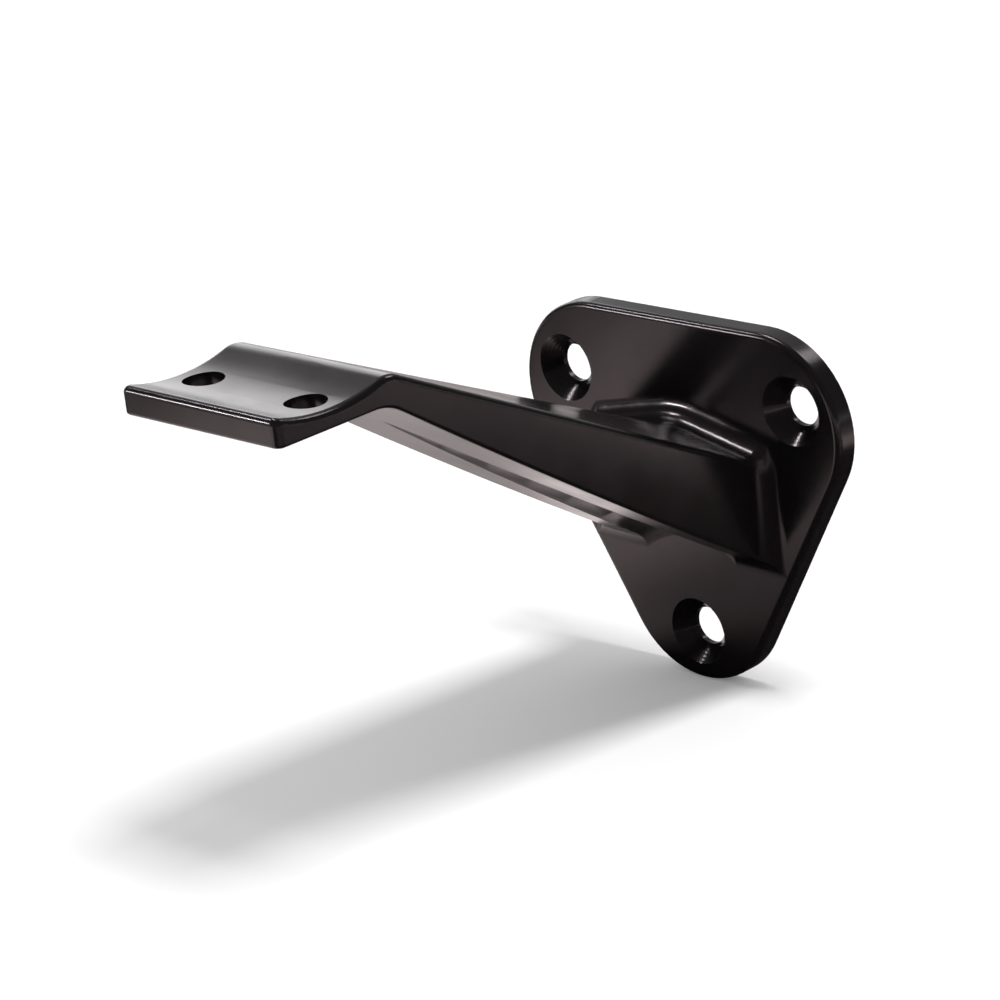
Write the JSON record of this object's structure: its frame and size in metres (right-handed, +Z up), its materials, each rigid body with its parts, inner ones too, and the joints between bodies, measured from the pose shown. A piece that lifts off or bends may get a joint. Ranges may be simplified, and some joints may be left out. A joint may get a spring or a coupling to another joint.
{
  "type": "handrail bracket",
  "caption": "One-piece cast handrail bracket: a rounded triangular wall plate with countersunk screw holes, a sloping crowned arm and a flat-bottomed saddle that cups the rail.",
  "frame": {"origin": "on the wall, at the centre of the circle through the three wall screws, in the plane of the plate's back", "axes": "+Y into the wall, so the arm reaches out along -Y; +Z up; +X along the rail"},
  "size_m": [0.061, 0.0918, 0.0713],
  "materials": {
    "casting": "satin black powder coat"
  },
  "bodies": {
    "root": {"bracket": "casting"}
  },
  "joints": []
}
